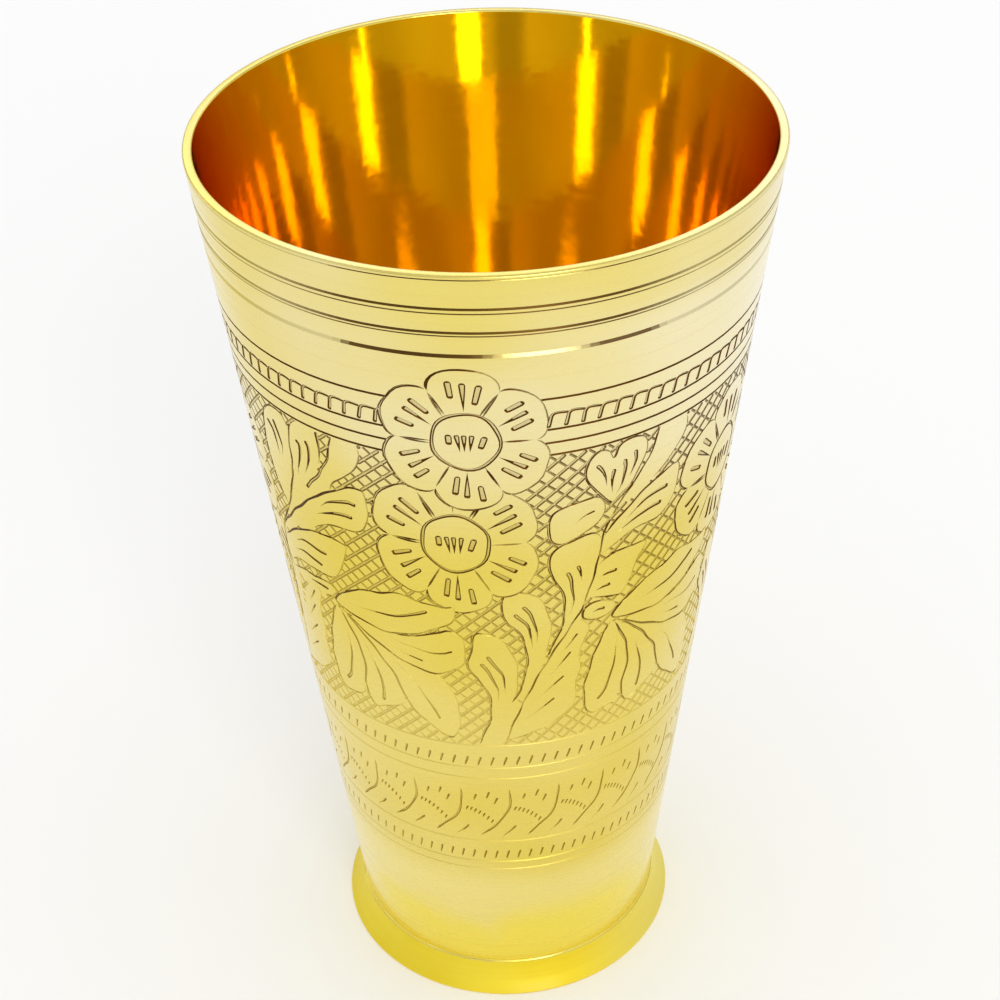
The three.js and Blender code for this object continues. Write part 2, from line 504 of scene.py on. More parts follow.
def round_the_wall(width, *heights):
    """Lines right round the wall, drawn a little past both sides of the panel."""
    left = PANEL_TURN - DRAWN_PITCH / 2
    past = 4.0
    lines = [straight(at(left - past, z), at(left + DRAWN_PITCH + past, z)) for z in heights]
    cuts = [np.column_stack([line, np.full(len(line), width / 2)]) for line in lines]
    return Motif(None, cuts, panels=(0,))


def in_row(count, offset, *strokes):
    """Strokes (places, width, tip, or none if even) in a row along the panel, places from each start."""
    row = Motif()
    for k in range(count):
        x = PANEL_TURN + DRAWN_PITCH * ((k + offset) / count - 0.5)
        for places, width, tip in strokes:
            line = smooth([(x + dx, z) for dx, z in places])
            row.cuts.append(even_cut(line, width) if tip is None else gouge(line, width, tip))
    return row


def borders():
    """A ladder of leaning rungs above, and below sweeping leaves between two rows of ticks."""
    rung = [(-0.9, 132.8), (-0.6, 134.0), (-0.35, 134.95), (0.3, 135.45), (1.6, 135.5), (3.25, 135.3)]
    sweep = [
        ([(0, 54.4), (0.1, 52), (-0.4, 49.3), (-2.2, 46.9), (-4.9, 44.9), (-9.8, 42)], SWEEP, None),
        ([(1.8, 44.7), (0.2, 43.5), (-2.4, 42.1)], SWEEP, 0.3),
        ([(4.8, 53), (3.9, 51.4)], TICK, 0.5),
        ([(8.9, 53.7), (7.9, 51.9)], TICK, 0.5),
        ([(11.4, 52.2), (10.2, 50.4)], TICK, 0.5),
    ]
    for t in np.linspace(0, 1, 7):
        dx, z = 1.6 + 7.8 * t, 49.2 - 0.8 * t - 2.5 * t * t
        sweep.append(([(dx + 0.45, z + 0.55), (dx - 0.45, z - 0.55)], DOT, 0.5))
    return [
        round_the_wall(RING_LINE, 138.15, 132.5, 130.0, 127.7),
        round_the_wall(FAINT_LINE, 65.4, 59.8, 57.1, 40.6, 35.0, 32.9),
        in_row(21, 0.4, (rung, RUNG, 0.7)),
        in_row(5, 0.2, *sweep),
        in_row(20, 0.5, ([(0.55, 62.6), (-0.5, 60.4)], TICK, 0.6)),
        in_row(20, 0.5, ([(0.5, 38.0), (-0.45, 35.8)], TICK, 0.6)),
    ]


# Drawing: what hides what, the hatched ground, and the panel with its cuts


def cover_of(outline):
    """An outline with its lowest and highest corner."""
    return outline.min(0), outline.max(0), outline


def covered(points, covers):
    """Which points lie inside any of some closed outlines."""
    hidden = np.zeros(len(points), bool)
    lowest, highest = points[:, :2].min(0), points[:, :2].max(0)
    for low, high, cover in covers:
        if (lowest > high).any() or (highest < low).any():
            continue
        near = np.all((points[:, :2] >= low) & (points[:, :2] <= high), axis=1)
        if near.any():
            x, y = points[near, 0:1], points[near, 1:2]
            (x0, y0), (x1, y1) = cover.T, np.roll(cover, -1, axis=0).T
            crosses = (y0 > y) != (y1 > y)
            where = x0 + (y - y0) * (x1 - x0) / np.where(y1 == y0, 1, y1 - y0)
            hidden[near] |= np.count_nonzero(crosses & (x < where), axis=1) % 2 == 1
    return hidden


def edge_of_cover(shown, lost, covers):
    """The last point in sight on the way from one that shows to one that is covered."""
    for _ in range(10):
        half = (shown + lost) / 2
        if covered(half[None], covers)[0]:
            lost = half
        else:
            shown = half
    return shown


def visible(cut, covers):
    """The runs of a cut that nothing covers."""
    hidden = covered(cut, covers)
    if not hidden.any():
        return [cut]
    runs, run = [], []
    for i, point in enumerate(cut):
        if i and hidden[i] != hidden[i - 1]:
            ends = (cut[i - 1], point) if hidden[i] else (point, cut[i - 1])
            run.append(edge_of_cover(*ends, covers))
            if hidden[i]:
                runs.append(run)
                run = []
        if not hidden[i]:
            run.append(point)
    runs.append(run)
    runs = [np.array(run) for run in runs if len(run) > 1]
    return [run for run in runs if distance_along(run)[-1] > SHORTEST]


def reaches_panel(cut):
    edge = PANEL_WIDTH / 2 + PANEL_MARGIN
    return cut[:, 0].min() < edge and cut[:, 0].max() > -edge


def hatching(covers):
    """Crossed lines that leave small square pads on the bare ground."""
    rng = np.random.default_rng(7)
    pitch = PANEL_WIDTH / HATCH_LINES
    shift = rng.uniform(-HATCH_STRAY, HATCH_STRAY, (2, HATCH_LINES)) * pitch
    rise = np.arange(*HATCHED, HATCH_STEP)
    runs = []
    for way, (lean, width) in enumerate(((1, HATCH_ROW), (-1, HATCH_CROSS))):
        for k in range(-5 * HATCH_LINES, 5 * HATCH_LINES):
            x = pitch * k + shift[way, k % HATCH_LINES] + lean * (rise - HATCHED[0])
            line = np.column_stack([x, rise, np.full(len(rise), width / 2)])
            line = line[np.abs(x) < 1.5 * PANEL_WIDTH]
            if len(line) > 2 and reaches_panel(line):
                for run in visible(line, covers):
                    pieces = math.ceil(distance_along(run)[-1] / HATCH_PIECE)
                    runs.append(run[np.unique(np.linspace(0, len(run) - 1, 1 + pieces).astype(int))])
    return runs


def panel_motifs(second_flower, left, right):
    """All that is drawn, what lies in front first. Left and right draw the leaves on those sides."""
    if second_flower:
        for motif in flower(-5.6, 131.0, 18.6, 13.6):
            motif.panels = (0,)
            yield motif
    fan = [*fan_leaf()]
    yield from (fan[0], *flower(-9.3, 110.8, 20.3, 15.0), *fan[1:])
    for leaves, panel in ((left, -1), (right, 0)):
        for motif in leaves():
            motif.panels = (panel,)
            yield motif
    yield from borders()


def panel_cuts(*drawing):
    """Every cut that reaches into one panel, with its depth."""
    covers, cuts = [], []
    for motif in panel_motifs(*drawing):
        shifts = [np.array([panel * PANEL_WIDTH, 0, 0]) for panel in motif.panels]
        for shift in shifts:
            for cut in motif.cuts:
                moved = cut + shift
                if reaches_panel(moved):
                    cuts += visible(moved, covers)
        if motif.cover is not None:
            covers += [cover_of(motif.cover + shift[:2]) for shift in shifts]
    deep = [(cut, CUT_DEPTH) for cut in cuts if reaches_panel(cut)]
    return deep + [(cut, HATCH_DEPTH) for cut in hatching(covers) if reaches_panel(cut)]


def round_ends(cut):
    """A cut with round ends, and the stretch of it between them, where it has its full width."""
    along = distance_along(cut)
    start, end = cut[0, 2], cut[-1, 2]
    if np.allclose(cut[0], cut[-1]):
        start = end = 0
    stop = along[-1] - end
    inner = along[(along > start + END_GAP) & (along < stop - END_GAP)]
    first, last = [0, start / 4, start], [stop, along[-1] - end / 4, along[-1]]
    s = np.unique(np.concatenate([first, inner, last]))
    core = np.linspace(start, stop, 2 + int(max(stop - start, 0) / MARK_STEP))
    shape = np.column_stack([np.interp(s, along, c) for c in cut.T])
    for radius, distance in ((start, s), (end, along[-1] - s)):
        near = distance < radius
        shape[near, 2] = np.minimum(shape[near, 2], np.sqrt(radius**2 - (radius - distance[near]) ** 2))
    way = np.gradient(cut[:, :2], along, axis=0)
    return shape, np.column_stack([np.interp(core, along, c) for c in (*cut.T, *way.T)])


def rails(cut):
    """The lines that bound a cut: its two edges, and its bottom between them."""
    points, half = cut[:, :2], cut[:, 2:]
    if np.allclose(points[0], points[-1]):
        tangent = np.roll(points[:-1], -1, 0) - np.roll(points[:-1], 1, 0)
        tangent = np.vstack([tangent, tangent[:1]])
    else:
        tangent = np.gradient(points, axis=0)
    tangent /= np.linalg.norm(tangent, axis=1)[:, None]
    across = np.column_stack([-tangent[:, 1], tangent[:, 0]])
    bottom = np.maximum(half - SIDE_RUN, 0)
    flat = bottom.max() > LEAST_BOTTOM
    inner = [points + across * bottom, points - across * bottom] if flat else [points]
    return [points + across * half, *inner, points - across * half]


class CutMarks:
    """Marks along the middle of all the cuts: place, half width, way and depth."""

    def __init__(self, marks):
        self.marks = marks
        self.tree = KDTree(len(marks))
        for i, mark in enumerate(marks):
            self.tree.insert((mark[0], mark[1], 0), i)
        self.tree.balance()

    def away(self, x, z):
        return self.tree.find((x, z, 0))[2]

    def depth(self, point):
        """How deep the cuts go at a point, from its distance to their middle lines."""
        deepest = 0
        for _, i, distance in self.tree.find_n((point[0], point[1], 0), NEAR_MARKS):
            x, z, half, way_x, way_z, deep = self.marks[i]
            along = (point[0] - x) * way_x + (point[1] - z) * way_z
            if abs(along) < MARK_REACH:
                distance = math.sqrt(max(distance * distance - along * along, 0))
            if half - distance > EDGE_SLACK:
                deepest = max(deepest, deep * min((half - distance) / SIDE_RUN, 1))
        return deepest


def panel_mesh(name, *drawing):
    """The flat panel with its cuts: x along the wall, y into it and z up, in metres."""
    verts, edges, marks = [], [], []

    def add_line(points):
        start = len(verts)
        verts.extend(Vector(p) for p in points)
        edges.extend((i, i + 1) for i in range(start, len(verts) - 1))

    half_width = PANEL_WIDTH / 2
    columns = np.linspace(-half_width, half_width, PANEL_COLUMNS + 1)
    rows = np.linspace(BAND_BOTTOM, BAND_TOP, PANEL_ROWS + 1)
    for z in (BAND_BOTTOM, BAND_TOP):
        add_line(np.column_stack([columns, np.full(len(columns), z)]))
    for x in (-half_width, half_width):
        add_line(np.column_stack([np.full(len(rows), x), rows]))
    for cut, deep in panel_cuts(*drawing):
        shape, middle = round_ends(cut)
        for line in rails(shape):
            add_line(line)
        marks.extend([*mark, deep] for mark in middle.tolist())
    cuts = CutMarks(marks)
    for x in columns[2:-1:2]:
        verts.extend(Vector((x, z)) for z in rows[1:-1] if cuts.away(x, z) > GROUND_CLEAR)
    points, _, faces, *_ = delaunay_2d_cdt(verts, edges, [], 0, WELD)
    kept = [face for face in faces if abs(sum(points[i][0] for i in face)) < 3 * half_width]
    used = sorted({i for face in kept for i in face})
    order = {old: new for new, old in enumerate(used)}
    mesh = bpy.data.meshes.new(name)
    mesh.from_pydata(
        [(points[i][0] * MM, cuts.depth(points[i]) * MM, points[i][1] * MM) for i in used],
        [],
        [[order[i] for i in face] for face in kept],
    )
    mesh.update()
    return mesh


# Node trees


def join(tree, source, socket):
    """Links a socket, or sets it to a plain value."""
    if isinstance(source, bpy.types.NodeSocket):
        tree.links.new(source, socket)
    else:
        socket.default_value = source


def add_node(tree, kind, inputs=(), **settings):
    """A new node with its settings made and its inputs, by name or number, joined."""
    node = tree.nodes.new(kind)
    for name, value in settings.items():
        setattr(node, name, value)
    for name, source in dict(inputs).items():
        join(tree, source, node.inputs[name])
    return node


def node_group(name, kind, inputs, outputs):
    """An empty node group with its sockets (name, kind), and the two ends to join them by."""
    tree = bpy.data.node_groups.new(name, kind)
    for way, sockets in (("INPUT", inputs), ("OUTPUT", outputs)):
        for socket, value in sockets:
            tree.interface.new_socket(socket, in_out=way, socket_type="NodeSocket" + value)
    return tree, add_node(tree, "NodeGroupInput").outputs, add_node(tree, "NodeGroupOutput").inputs


def operation(tree, kind, *values):
    return add_node(tree, "ShaderNodeMath", enumerate(values), operation=kind).outputs[0]


def vector(tree, *values):
    return add_node(tree, "ShaderNodeCombineXYZ", enumerate(values)).outputs[0]


def parts_of(tree, place):
    """The X, Y and Z of a place."""
    return add_node(tree, "ShaderNodeSeparateXYZ", {0: place}).outputs


def stretch_range(tree, value, low, high, to_low=0.0, to_high=1.0):
    limits = {"Value": value, "From Min": low, "From Max": high, "To Min": to_low, "To Max": to_high}
    return add_node(tree, "ShaderNodeMapRange", limits, interpolation_type="SMOOTHSTEP").outputs[0]


WRAP = {  # what the flat panels are wrapped round the taper by, in metres and radians
    "Panel width": PANEL_WIDTH * MM,
    "Panel radius": BAND_RADIUS * MM,
    "Turn": math.radians(PANEL_TURN),
    "Waist radius": WAIST_RADIUS * MM,
    "Waist height": SHOULDER * MM,
    "Taper": TAPER,
}


def ring_of_panels_tree():
    """Repeats a panel side by side and wraps the row round the taper."""
    inputs = [("Panel", "Geometry"), *((name, "Float") for name in WRAP)]
    inputs += [("Repeats", "Int"), ("First", "Int"), ("Finish", "Material")]
    outputs = [("Wall", "Geometry")]
    tree, sizes, result = node_group("ring_of_panels", "GeometryNodeTree", inputs, outputs)
    start = operation(tree, "MULTIPLY", sizes["First"], sizes["Panel width"])
    spacing = {
        "Count": sizes["Repeats"],
        "Start Location": vector(tree, start, 0, 0),
        "Offset": vector(tree, sizes["Panel width"], 0, 0),
    }
    row = add_node(tree, "GeometryNodeMeshLine", spacing, mode="OFFSET").outputs["Mesh"]
    on_row = {"Points": row, "Instance": sizes["Panel"]}
    copies = add_node(tree, "GeometryNodeInstanceOnPoints", on_row).outputs["Instances"]
    flat = add_node(tree, "GeometryNodeRealizeInstances", {"Geometry": copies}).outputs["Geometry"]
    x, y, z = parts_of(tree, add_node(tree, "GeometryNodeInputPosition").outputs[0])
    angle = operation(tree, "DIVIDE", x, sizes["Panel radius"])
    angle = operation(tree, "ADD", angle, sizes["Turn"])
    climb = operation(tree, "SUBTRACT", z, sizes["Waist height"])
    spread = operation(tree, "MULTIPLY", sizes["Taper"], climb)
    radius = operation(tree, "ADD", sizes["Waist radius"], spread)
    radius = operation(tree, "SUBTRACT", radius, y)
    right = operation(tree, "MULTIPLY", radius, operation(tree, "SINE", angle))
    back = operation(tree, "MULTIPLY", operation(tree, "COSINE", angle), -1.0)
    place = vector(tree, right, operation(tree, "MULTIPLY", radius, back), z)
    wrapped = add_node(tree, "GeometryNodeSetPosition", {"Geometry": flat, "Position": place})
    dressed = {"Geometry": wrapped.outputs["Geometry"], "Material": sizes["Finish"]}
    join(tree, add_node(tree, "GeometryNodeSetMaterial", dressed).outputs["Geometry"], result["Wall"])
    return tree


def new_object(name, data):
    obj = bpy.data.objects.new(name, data)
    bpy.context.collection.objects.link(obj)
    return obj


def ring_of_panels(tree, mesh, first, repeats, material):
    """A plain mesh of that many panels side by side on the wall."""
    holder = new_object(mesh.name, mesh)
    modifier = holder.modifiers.new("ring", "NODES")
    modifier.node_group = tree
    values = {**WRAP, "Repeats": repeats, "First": first, "Finish": material}
    for item in tree.interface.items_tree:
        if item.in_out == "INPUT" and item.name in values:
            modifier[item.identifier] = values[item.name]
    bpy.context.view_layer.update()
    result = bpy.data.meshes.new_from_object(holder.evaluated_get(bpy.context.evaluated_depsgraph_get()))
    bpy.data.objects.remove(holder)
    return result


# Turned surfaces

SHARP = math.radians(28)  # a sharper edge is not smoothed over


def bow(a, b, sag, steps):
    """Points from a to b, on a shallow curve that lies off the straight line by sag at its middle."""
    (r0, z0), (r1, z1) = a, b
    length = math.hypot(r1 - r0, z1 - z0)
    points = []
    for i in range(steps + 1):
        t = i / steps
        off = 4 * sag * t * (1 - t) / length
        points.append((r0 + (r1 - r0) * t - (z1 - z0) * off, z0 + (z1 - z0) * t + (r1 - r0) * off))
    return points


def arc(centre, radius, start, end, steps):
    points = []
    for i in range(steps + 1):
        t = math.radians(start + (end - start) * i / steps)
        points.append((centre[0] + radius * math.cos(t), centre[1] + radius * math.sin(t)))
    return points


def turned_mesh(name, profile, closed=True):
    """A profile of (radius, height) points turned about the axis, metal on its left."""
    verts, faces, rows, uv = [], [], [], []
    run = distance_along(np.array([*profile, profile[0]], float))
    run /= run[-1]
    for r, z in profile:
        if r == 0:
            rows.append([len(verts)] * COLUMNS)
            verts.append((0, 0, z * MM))
            continue
        rows.append(list(range(len(verts), len(verts) + COLUMNS)))
        for k in range(COLUMNS):
            angle = 2 * math.pi * k / COLUMNS
            verts.append((r * MM * math.sin(angle), -r * MM * math.cos(angle), z * MM))
    if closed and profile[0][0] > 0:
        rows.append(rows[0])
    for i, (low, high) in enumerate(zip(rows[:-1], rows[1:])):
        for k in range(COLUMNS):
            n = (k + 1) % COLUMNS
            places = {}
            lower = ((low[k], k, i), (low[n], k + 1, i))
            upper = ((high[n], k + 1, i + 1), (high[k], k, i + 1))
            for corner, u, v in lower + upper:
                places.setdefault(corner, (u / COLUMNS, run[v]))
            faces.append(list(places))
            uv.extend(places.values())
    mesh = bpy.data.meshes.new(name)
    mesh.from_pydata(verts, [], faces)
    mesh.uv_layers.new(name="OFBake").data.foreach_set("uv", np.array(uv, np.float32).ravel())
    mesh.update()
    return mesh


def shade_smooth(mesh):
    mesh.polygons.foreach_set("use_smooth", np.ones(len(mesh.polygons), bool))
    mesh.set_sharp_from_angle(angle=SHARP)


def piece(mesh, node):
    """A finished piece that stands for a solid."""
    obj = new_object(mesh.name, mesh)
    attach(obj, "root")
    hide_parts(node)


def turned_piece(name, profile, finish, node):
    mesh = turned_mesh(name, profile)
    mesh.materials.append(finish)
    shade_smooth(mesh)
    piece(mesh, node)


# Finishes: soft patches, the lathe's rings and ripples, and the brass made with them


def object_place(tree):
    return add_node(tree, "ShaderNodeTexCoord").outputs["Object"]


def noise(tree, detail, scale, **place):
    """Soft noise over a Vector, or over the single value W."""
    inputs = {**place, "Scale": scale, "Detail": detail}
    kind = "1D" if "W" in place else "3D"
    return add_node(tree, "ShaderNodeTexNoise", inputs, noise_dimensions=kind).outputs[0]


def mask_group(name, *values):
    """An empty shader group from some numbers to a mask."""
    numbers = [(value, "Float") for value in values]
    return node_group(name, "ShaderNodeTree", numbers, [("Mask", "Float")])


def cloud_group():
    """Soft patches, from bare metal 0 to tarnish 1. Size is the width of a patch in metres."""
    tree, values, results = mask_group("tarnish_clouds", "Size")
    scale = operation(tree, "DIVIDE", 1.0, values["Size"])
    patches = noise(tree, 2.0, scale, Vector=object_place(tree))
    join(tree, stretch_range(tree, patches, 0.32, 0.62), results["Mask"])
    return tree


def turning_group():
    """Fine rings left by the lathe. Pitch is the distance between rings in metres."""
    tree, values, results = mask_group("turning_marks", "Pitch")
    x, y, z = parts_of(tree, object_place(tree))
    squares = [operation(tree, "MULTIPLY", part, part) for part in (x, y)]
    radius = operation(tree, "SQRT", operation(tree, "ADD", *squares))
    along = operation(tree, "DIVIDE", operation(tree, "ADD", radius, z), values["Pitch"])
    join(tree, noise(tree, 3.0, 1.0, W=along), results["Mask"])
    return tree


def ripple_group():
    """Unevenness that bends reflections: patches stretched along or across the axis, sizes in metres."""
    tree, values, results = mask_group("ripples", "Across", "Along")
    sizes = (values["Across"], values["Across"], values["Along"])
    parts = parts_of(tree, object_place(tree))
    place = vector(tree, *(operation(tree, "DIVIDE", *pair) for pair in zip(parts, sizes)))
    join(tree, noise(tree, 2.0, 1.0, Vector=place), results["Mask"])
    return tree


CLOUDS = cloud_group()
TURNING = turning_group()
RIPPLES = ripple_group()


class Finish:
    """A metal finish under construction."""

    def __init__(self, name):
        self.material = bpy.data.materials.new(name)
        self.material.use_nodes = True
        self.tree = self.material.node_tree
        self.give("Metallic", 1.0)

    def give(self, name, source):
        """Joins a link or a plain value to one of the shader's inputs."""
        join(self.tree, source, self.tree.nodes["Principled BSDF"].inputs[name])

    def group(self, tree, **values):
        return add_node(self.tree, "ShaderNodeGroup", values, node_tree=tree).outputs[0]

    def place(self):
        return parts_of(self.tree, object_place(self.tree))

    def stretch(self, *limits):
        return stretch_range(self.tree, *limits)

    def mix(self, mask, *colours):
        a, b = (c if isinstance(c, bpy.types.NodeSocket) else (*c, 1) for c in colours)
        inputs = {"Factor": mask, 6: a, 7: b}
        return add_node(self.tree, "ShaderNodeMix", inputs, data_type="RGBA").outputs[2]

    def roughness(self, mask, low, high, more=0.0):
        rough = self.stretch(mask, 0.25, 0.75, low, high)
        self.give("Roughness", operation(self.tree, "ADD", rough, more))

    def coat(self, weight, roughness):
        self.give("Coat Weight", weight)
        self.give("Coat Roughness", roughness)

    def relief(self, *layers):
        """Layers of (height mask, depth in metres), the first at the bottom."""
        below = {}
        for height, depth in layers:
            bump = add_node(self.tree, "ShaderNodeBump", {"Distance": depth, "Height": height, **below})
            below = {"Normal": bump.outputs[0]}
        self.give("Normal", bump.outputs[0])


def wall_finish():
    """Pale polished brass, yellower in patches, with old polish in the cuts and painted light and shade.
    """
    finish = Finish("wall_brass")
    tree = finish.tree
    x, _, z = finish.place()
    rings = finish.group(TURNING, Pitch=0.0009)
    cloud = finish.group(CLOUDS, Size=0.05)
    # Upper wall, palest on the right below the rim, and the more worn and yellower wall under it
    upper = finish.mix(cloud, (0.86, 0.755, 0.39), (0.81, 0.66, 0.14))
    # Painted reflection: the upper wall is paler towards the right, below the rim
    below_rim = finish.stretch(z, 0.154, 0.146, 0.35, 1.0)
    painted_sheen = operation(tree, "MULTIPLY", finish.stretch(x, 0.003, 0.03, 0.0, 0.9), below_rim)
    upper = finish.mix(painted_sheen, upper, (0.91, 0.82, 0.51))
    worn = finish.mix(cloud, (0.84, 0.69, 0.17), (0.79, 0.615, 0.055))
    metal = finish.mix(finish.stretch(z, 0.13, 0.10), upper, worn)
    # Painted light: a bright plain band under the engraving, against the table's shadow that it mirrors
    metal = finish.mix(finish.stretch(z, 0.036, 0.026, 0.0, 0.7), metal, (0.93, 0.81, 0.31))
    # Painted reflection: a blotchy yellow edge above the foot, where the wall mirrors the yellow foot
    blotch = operation(tree, "MULTIPLY", finish.group(CLOUDS, Size=0.022), 0.008)
    edge = finish.stretch(operation(tree, "SUBTRACT", z, blotch), 0.017, 0.007, 0.0, 0.9)
    metal = finish.mix(edge, metal, (0.92, 0.77, 0.08))
    metal = finish.mix(finish.stretch(rings, 0.5, 0.8, 0.0, 0.14), metal, (0.72, 0.57, 0.16))
    # Old polish, darker higher up, on duller metal where the wall is cut by hand, with painted light and
    # shade in the cuts
    cut = add_node(tree, "ShaderNodeAttribute", attribute_name="cut").outputs["Fac"]
    polish = finish.mix(finish.stretch(z, 0.055, 0.105), (0.38, 0.26, 0.03), (0.11, 0.04, 0.003))
    finish.give("Base Color", finish.mix(cut, metal, polish))
    finish.coat(finish.stretch(cut, 0.0, 0.5, 0.3, 0.0), 0.1)
    by_hand_only = finish.stretch(z, 0.146, 0.145)
    dull = operation(tree, "MULTIPLY", finish.stretch(cut, 0.0, 0.05, 0.0, 0.25), by_hand_only)
    finish.roughness(rings, 0.17, 0.3, dull)
    finish.relief((finish.group(RIPPLES, Across=0.02, Along=0.02), 0.00012), (rings, 0.0000025))
    return finish.material


def turned_brass(name, patch, colours, pitch, roughness):
    """Brass in soft patches of two colours with the lathe's rings. Also gives the patches and rings."""
    finish = Finish(name)
    patches = finish.mix(finish.group(CLOUDS, Size=patch), *colours)
    rings = finish.group(TURNING, Pitch=pitch)
    finish.give("Base Color", patches)
    finish.roughness(rings, *roughness)
    return finish, patches, rings


def inside_finish():
    """Deep yellow brass, polished on the lathe, with fine chatter."""
    colours = (0.92, 0.73, 0.12), (0.90, 0.69, 0.10)
    finish, *_ = turned_brass("inside_brass", 0.03, colours, 0.0014, (0.04, 0.07))
    finish.relief((finish.group(RIPPLES, Across=0.006, Along=0.005), 0.00002))
    return finish.material


def foot_finish():
    """Strong yellow brass, with a painted sheen that makes it paler on the right."""
    colours = (0.88, 0.735, 0.05), (0.86, 0.69, 0.025)
    finish, patches, rings = turned_brass("foot_brass", 0.02, colours, 0.0008, (0.64, 0.72))
    # Painted sheen: paler towards the right, where the light falls
    painted_sheen = finish.stretch(finish.place()["X"], 0.01, 0.03, 0.0, 0.7)
    finish.give("Base Color", finish.mix(painted_sheen, patches, (0.89, 0.80, 0.24)))
    finish.coat(0.35, 0.25)
    finish.relief((rings, 0.000003))
    return finish.material


def floor_finish():
    colours = (0.86, 0.62, 0.11), (0.70, 0.44, 0.07)
    finish, _, rings = turned_brass("floor_brass", 0.015, colours, 0.0007, (0.16, 0.34))
    finish.relief((rings, 0.00001))
    return finish.material


def solder_finish():
    finish = Finish("hard_solder")
    cloud = finish.group(CLOUDS, Size=0.006)
    finish.give("Base Color", finish.mix(cloud, (0.88, 0.73, 0.16), (0.86, 0.68, 0.10)))
    finish.roughness(cloud, 0.16, 0.3)
    return finish.material


# Wall: the engraved band between a plain lower end and the turned rim

# Lines cut on the lathe: height of the lower flank, height of the upper flank, depth
FINE_LINE = (0.26, 0.16, 0.24)
HAIR_LINE = (0.12, 0.1, 0.11)
BOLD_LINE = (0.5, 0.16, 0.3)
EDGE_LINE = (0.1, 0.1, 0.06)
TURNED_LINES = (  # distance below the rim, and line
    (13.3, BOLD_LINE), (10.0, HAIR_LINE), (9.4, FINE_LINE),
    (6.2, HAIR_LINE), (5.4, FINE_LINE), (0.6, EDGE_LINE),
)
BEAD = 0.05  # how far the bands between the turned lines are rounded
SKIN_DEPTH = 0.35  # what lies deeper is no part of the engraved skin
SIDE_DROP = 0.03  # a face that drops more is the side of a cut
CUT_FLOOR = 0.05  # what lies deeper is in a cut
INNER = WALL - 0.05  # what lies deeper is the inner wall
SKIN_MARGIN = 0.1  # left out of the skin at the shoulder and at the rim
STRIP_WELD = 2e-6  # metres between points where panels and strips join

# Old polish in the cuts, and painted light and shade in them
HANDLED = (62, 120)  # heights between which the wall has been handled less and less
RIGHT_LIGHT = 1.5  # painted light: how much polish is taken off the sides that face to the right, which look lit
RIGHT_LIGHT_TURN = 60  # degrees to the right of the front where that painted light is strongest
LEAST_POLISH = 0.06
BOTTOM_POLISH = 0.2
# Painted reflection on the lathe's lines' lower flanks: degrees to the right of the front, share
FINE_PAINTED_DARK = ((-46, 0.35), (-28, 0.95), (24, 0.95), (40, 0.35))
BOLD_PAINTED_DARK = ((-31, 0.1), (-28, 0.95), (-4, 0.95), (3, 0.3), (15, 0.3), (19, 0.9), (30, 0.9), (33, 0.1))
BOLD_SLOPE = 0.6  # a fine line's lower flank looks up more than this, a bold one's less

# Flat map of the wall, which is one wide and one high
MAP_EDGE = 0.02
MAP_RISE = 0.47


def wall_profiles():
    """The turned parts of the wall: spigot up to the band, and band over the rim and down inside."""
    below = [(inside(LEDGE), LEDGE), (SPIGOT_RADIUS, LEDGE), (SPIGOT_RADIUS, SHOULDER)]
    below += [(outside(z), z) for z in np.linspace(SHOULDER, BAND_BOTTOM, 6)]
    above = [(outside(BAND_TOP), BAND_TOP)]
    top = HEIGHT - RIM_EASE
    for i, (below_rim, (lower, upper, depth)) in enumerate(TURNED_LINES):
        z = HEIGHT - below_rim
        above += [(outside(z - lower), z - lower), (outside(z) - depth, z)]
        start = z + upper
        last = i + 1 == len(TURNED_LINES)
        end = top if last else HEIGHT - TURNED_LINES[i + 1][0] - TURNED_LINES[i + 1][1][0]
        sag = BEAD * min(1, (end - start) / 3)
        for t in np.linspace(0, 1, 7 if end - start > 1 else 3)[:-1]:
            band_z = start + (end - start) * t
            above.append((outside(band_z) - sag * (1 - 2 * t) ** 2 * (1 - t if last else 1), band_z))
    above += arc((outside(top) - RIM_EASE, top), RIM_EASE, 0, 90, 6)
    above += arc((inside(top) + RIM_EASE, top), RIM_EASE, 90, 180, 6)
    above += [(inside(z), z) for z in np.linspace(top - 1, LEDGE, 10)]
    return below, above


def joined_wall(finish):
    """The panels and the turned strips as one closed mesh."""
    tree = ring_of_panels_tree()
    meshes = []
    first = 0
    for name, repeats, *drawing in (
        ("front_panel", 1, True, long_leaves, short_leaves),
        ("right_panel", 1, False, short_leaves, long_leaves),
        ("back_panel", REPEATS - 2, False, long_leaves, long_leaves),
    ):
        meshes.append(ring_of_panels(tree, panel_mesh(name, *drawing), first, repeats, finish))
        first += repeats
    meshes += [turned_mesh("strip", profile, closed=False) for profile in wall_profiles()]
    bm = bmesh.new()
    for mesh in meshes:
        bm.from_mesh(mesh)
    bmesh.ops.remove_doubles(bm, verts=[v for v in bm.verts if v.is_boundary], dist=STRIP_WELD)
    wall = bpy.data.meshes.new("wall")
    bm.to_mesh(wall)
    bm.free()
    return wall


def read(items, name, width=1, kind=np.float32):
    """One property of many parts of a mesh, as an array."""
    values = np.empty(len(items) * width, kind)
    items.foreach_get(name, values)
    return values.reshape(-1, width) if width > 1 else values


